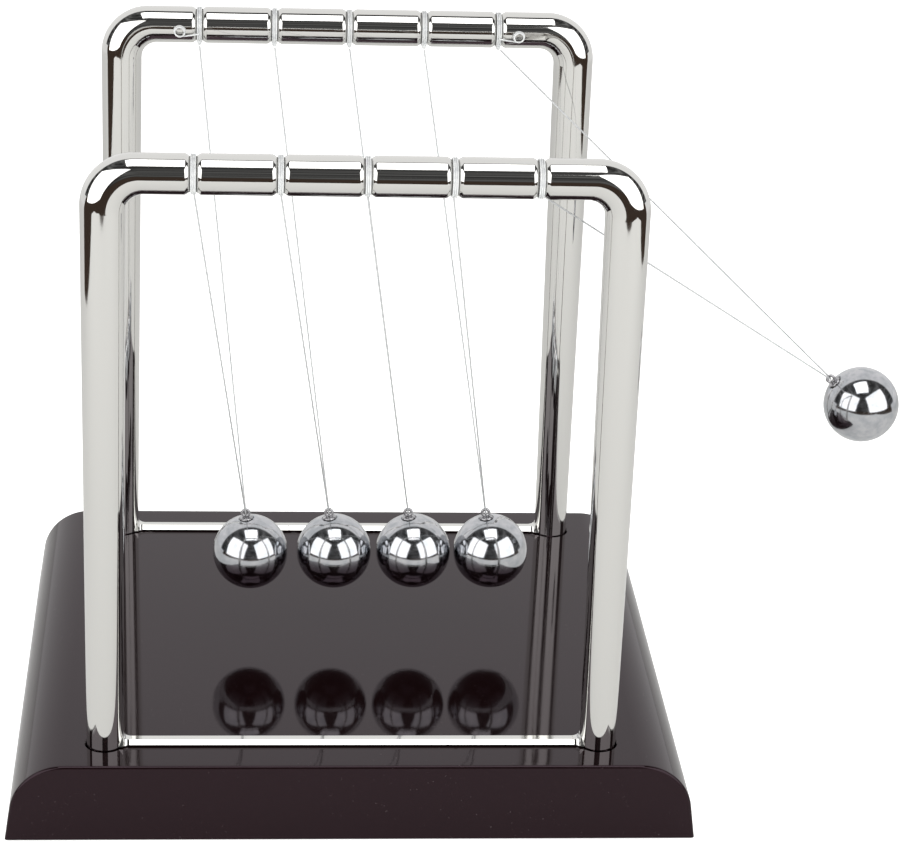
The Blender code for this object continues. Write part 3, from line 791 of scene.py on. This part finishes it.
def line_tail(side, number):
    """The trimmed end of a line: it runs outwards along the bar's face and curls up.

    The curl is centre + r (cos t, sin t) in the face's plane, with r shrinking by TAIL_EASE each
    half turn and each turn lying on the last.
    """
    out = 1.0 if number > 3 else -1.0
    face = np.array([0.0, -np.cos(TAIL_TILT), np.sin(TAIL_TILT)])
    rise = np.array([0.0, np.sin(TAIL_TILT), np.cos(TAIL_TILT)])
    turn = np.linspace(TAIL_FROM, TAIL_TO, TAIL_STEPS)
    reach = TAIL_CURL * (1.0 - TAIL_EASE * turn / np.pi)
    lift = BAR_RADIUS + TAIL_LIFT + TAIL_STACK * (turn - TAIL_FROM)
    along = TAIL_REACH + reach * np.cos(turn)
    height = reach * np.sin(turn)
    curl = out * along[:, None] * [1.0, 0.0, 0.0] + height[:, None] * rise + lift[:, None] * face
    start = (LOOP_RADIUS + TAIL_SINK) * face - TAIL_DROP * TAIL_CURL * rise
    share = np.linspace(0.0, 1.0, LEAD_STEPS)[:-1, None]
    lead = start + (curl[0] - start) * share + np.sin(np.pi * share) * TAIL_ARCH * face
    path = np.concatenate([lead, curl]) + [GROOVE_X[number - 1], FRAME_Y[side], BAR_Z]
    return tube("tail", path, LINE_DIAMETER / 2.0)


def line_turn(side, number, material):
    """Three turns of line round a groove's neck, the middle one swelling into its knot.

    A turn is a torus about the bar. At the knot its reach and its wire radius both grow by the
    root of 1 - (t / w)^2, where w is KNOT_HALF_ANGLE.
    """
    width = KNOT_HALF_ANGLE
    knot = np.linspace(-width, width, KNOT_STEPS)
    turn = np.concatenate([knot, np.linspace(width, TAU - width, TURN_STEPS)[1:-1]])
    around = np.linspace(0.0, TAU, TURN_SIDES, endpoint=False)[None, :]
    at = LINE_ANGLE + turn[:, None]
    sign = 1.0 if side == "rear" else -1.0
    pieces = []
    for step in (-1, 0, 1):
        share = np.sqrt(np.clip(1.0 - (turn / width) ** 2, 0.0, 1.0)) * (step == 0)
        wire = LINE_DIAMETER / 2.0 + (KNOT_RADIUS - LINE_DIAMETER / 2.0) * share
        radius = LOOP_RADIUS + (KNOT_DISTANCE - LOOP_RADIUS) * share
        reach = radius[:, None] + wire[:, None] * np.cos(around)
        x = GROOVE_X[number - 1] + step * TURN_STEP + wire[:, None] * np.sin(around)
        y = sign * (LINE_REACH - reach * np.sin(at))
        z = BAR_Z - reach * np.cos(at)
        pieces.append(skin("turn", np.stack([x, y, z], axis=-1), closed=True))
    if (side, number) in LINE_TAILS:
        pieces.append(line_tail(side, number))
    piece = join("%s_turns_%d" % (side, number), pieces)
    smooth(piece, TURN_SHARP_DEGREES)
    dress(piece, material, "stand", "%s_loop_%d" % (side, number))


# ---------------------------------------------------------------- studio

def add_softbox(name, azimuth, elevation, width, height, radiance):
    """A soft rectangular light a metre away, facing the object.

    The azimuth in degrees goes from straight in front to the right, the elevation goes up.
    """
    data = bpy.data.lights.new(name, "AREA")
    data.shape = "RECTANGLE"
    data.size = width
    data.size_y = height
    data.energy = radiance * np.pi * width * height
    light = bpy.data.objects.new(name, data)
    bpy.context.scene.collection.objects.link(light)
    a, e = np.radians(azimuth), np.radians(elevation)
    aim = Vector((np.sin(a) * np.cos(e), -np.cos(a) * np.cos(e), np.sin(e)))
    light.location = Vector((0.0, 0.0, AIM_HEIGHT)) + aim
    light.rotation_euler = aim.to_track_quat("Z", "Y").to_euler()
    light.visible_camera = False


def add_world():
    """A white backdrop behind the object, a dim room before it, and plain white to the camera."""
    world = bpy.data.worlds.new("studio")
    world.use_nodes = True
    tree = world.node_tree
    tree.nodes.clear()
    direction = add_node(tree, "TexCoord").outputs["Generated"]
    across = add_node(tree, "SeparateXYZ", {"Vector": direction}).outputs["Y"]
    level = add_node(tree, "Mapping",
                     {"Vector": direction, "Scale": (1.0, 1.0, 7.0)}).outputs["Vector"]
    clutter = add_node(tree, "TexNoise",
                       {"Vector": level, "Scale": 2.2, "Detail": 4.0}).outputs["Fac"]
    room = add_node(tree, "MapRange", {"Value": clutter, "From Min": 0.42, "From Max": 0.75,
                                       "To Min": 0.03, "To Max": 0.22}).outputs["Result"]
    backdrop = add_node(tree, "MapRange", {"Value": across, "From Min": 0.24, "From Max": 0.27,
                                           "To Min": room, "To Max": 1.0}).outputs["Result"]
    shade = add_node(tree, "Background", {"Color": linear(WHITE), "Strength": backdrop})
    plain = add_node(tree, "Background", {"Color": linear(WHITE), "Strength": CAMERA_WHITE})
    seen = add_node(tree, "LightPath").outputs["Is Camera Ray"]
    mixed = add_node(tree, "MixShader", {0: seen, 1: shade.outputs[0], 2: plain.outputs[0]})
    add_node(tree, "OutputWorld", {"Surface": mixed.outputs["Shader"]})
    bpy.context.scene.world = world


def add_floor():
    """A white table top.

    Its mirror image in the object is painted for glossy rays only: a sheet, darker near the object
    and an even white glow further out, that ends at its edges, with a dim brown glow painted beyond
    it for a room. All other rays see the lit white card with its own glow.
    """
    mesh = bpy.data.meshes.new("table_top")
    corners = [(-FLOOR, -FLOOR, 0.0), (FLOOR, -FLOOR, 0.0),
               (FLOOR, FLOOR, 0.0), (-FLOOR, FLOOR, 0.0)]
    mesh.from_pydata(corners, [], [(0, 1, 2, 3)])
    floor = bpy.data.objects.new("table_top", mesh)
    bpy.context.scene.collection.objects.link(floor)
    material = bpy.data.materials.new("white_card")
    material.use_nodes = True
    tree = material.node_tree
    tree.nodes.clear()
    place = add_node(tree, "TexCoord").outputs["Object"]
    axes = add_node(tree, "SeparateXYZ", {"Vector": place})
    x, y = axes.outputs["X"], axes.outputs["Y"]
    # Mask of the sheet painted into the table's reflection; glossy rays beyond it see a painted dim
    # brown glow
    left = add_node(tree, "Math", {0: x, 1: PAINTED_SHEET_LEFT}, operation="GREATER_THAN").outputs["Value"]
    right = add_node(tree, "Math", {0: x, 1: PAINTED_SHEET_RIGHT}, operation="LESS_THAN").outputs["Value"]
    near = add_node(tree, "Math", {0: y, 1: PAINTED_SHEET_FRONT}, operation="GREATER_THAN").outputs["Value"]
    sides = add_node(tree, "Math", {0: left, 1: right}, operation="MULTIPLY").outputs["Value"]
    front = add_node(tree, "Math", {0: sides, 1: near}, operation="MULTIPLY").outputs["Value"]
    behind = add_node(tree, "Math", {0: y, 1: PAINTED_SHEET_BACK},
                      operation="GREATER_THAN").outputs["Value"]
    painted_sheet_mask = add_node(tree, "Math", {0: front, 1: behind}, operation="MAXIMUM").outputs["Value"]
    card = add_node(tree, "BsdfDiffuse", {"Color": linear("#f2f2f0")}).outputs["BSDF"]
    glow = add_node(tree, "Emission",
                    {"Color": linear(WHITE), "Strength": 0.75}).outputs["Emission"]
    lit = add_node(tree, "AddShader", {0: card, 1: glow}).outputs["Shader"]
    # Painted dark reflection: a dim brown glow that only glossy rays see beyond the sheet, standing
    # for a room
    painted_dim_room = add_node(tree, "Emission",
                   {"Color": linear("#40352e"), "Strength": 1.0}).outputs["Emission"]
    # Painted reflection of the sheet: a darker lit card with a faint glow near the object, fading
    # into an even painted white glow further out
    pale = add_node(tree, "BsdfDiffuse", {"Color": linear("#c5c5c3")}).outputs["BSDF"]
    soft = add_node(tree, "Emission",
                    {"Color": linear(WHITE), "Strength": 0.22}).outputs["Emission"]
    close = add_node(tree, "AddShader", {0: pale, 1: soft}).outputs["Shader"]
    even = add_node(tree, "Emission",
                    {"Color": linear(WHITE), "Strength": 0.92}).outputs["Emission"]
    away = add_node(tree, "VectorMath", {0: place}, operation="LENGTH")
    distance = add_node(tree, "MapRange", {"Value": away.outputs["Value"], "From Min": PAINTED_SHEET_NEAR,
                                           "From Max": PAINTED_SHEET_FAR}).outputs["Result"]
    painted_sheet_image = add_node(tree, "MixShader", {0: distance, 1: close, 2: even}).outputs["Shader"]
    painted_reflection = add_node(tree, "MixShader", {0: painted_sheet_mask, 1: painted_dim_room, 2: painted_sheet_image}).outputs["Shader"]
    # Glossy rays see the painted reflection, all other rays the lit white card
    glossy = add_node(tree, "LightPath").outputs["Is Glossy Ray"]
    top = add_node(tree, "MixShader", {0: glossy, 1: lit, 2: painted_reflection}).outputs["Shader"]
    add_node(tree, "OutputMaterial", {"Surface": top})
    mesh.materials.append(material)


def add_studio():
    """The white table and backdrop, a wide softbox each side of the camera and one overhead."""
    add_world()
    add_floor()
    add_softbox("left_softbox", azimuth=-50.0, elevation=23.0, width=1.15, height=0.92,
                radiance=SIDE_RADIANCE)
    add_softbox("right_softbox", azimuth=48.0, elevation=23.0, width=1.10, height=0.92,
                radiance=SIDE_RADIANCE)
    add_softbox("overhead_softbox", azimuth=4.0, elevation=77.0, width=0.62, height=0.66,
                radiance=OVERHEAD_RADIANCE)
    bpy.context.scene.view_settings.view_transform = "Standard"


# ---------------------------------------------------------------- the object

def keep_cad_pieces():
    """The parts under the base keep their CAD shapes and get their real finishes."""
    cover, felt, zinc = textured_abs(), pressed_felt(), zinc_plated_steel()
    finishes = {"base_plate": cover, "base_felt": felt, "ballast_plate": zinc}
    for n in range(1, 5):
        finishes.update({"plate_screw_%d" % n: zinc, "leg_screw_%d" % n: zinc,
                         "leg_washer_%d" % n: zinc})
    for node, material in finishes.items():
        for slot in NODES[node].material_slots:
            slot.material = material


def build():
    """The camera, every piece and the studio."""
    add_camera()
    hanging_nylon = nylon_monofilament("clear_nylon_monofilament", "#9fa1a3", "#b4b5b5")
    # The turns get a lighter copy of the same clear nylon: painted brightness standing in for the
    # light that the grooves' turns catch
    painted_bright_wound_nylon = nylon_monofilament("wound_nylon_monofilament", "#bcbebf", "#cfd0cf")
    for number in range(1, 6):
        nylon_line(number, hanging_nylon)
    keep_cad_pieces()
    moulded_base(moulded_abs())
    chrome = chrome_plated_abs()
    steel, nickel = bearing_steel(), nickel_plate()
    for side in ("front", "rear"):
        hoop(side, chrome)
    for number in range(1, 6):
        steel_ball(number, steel)
        ball_eye(number, nickel)
        for side in ("front", "rear"):
            line_turn(side, number, painted_bright_wound_nylon)
    add_studio()


build()
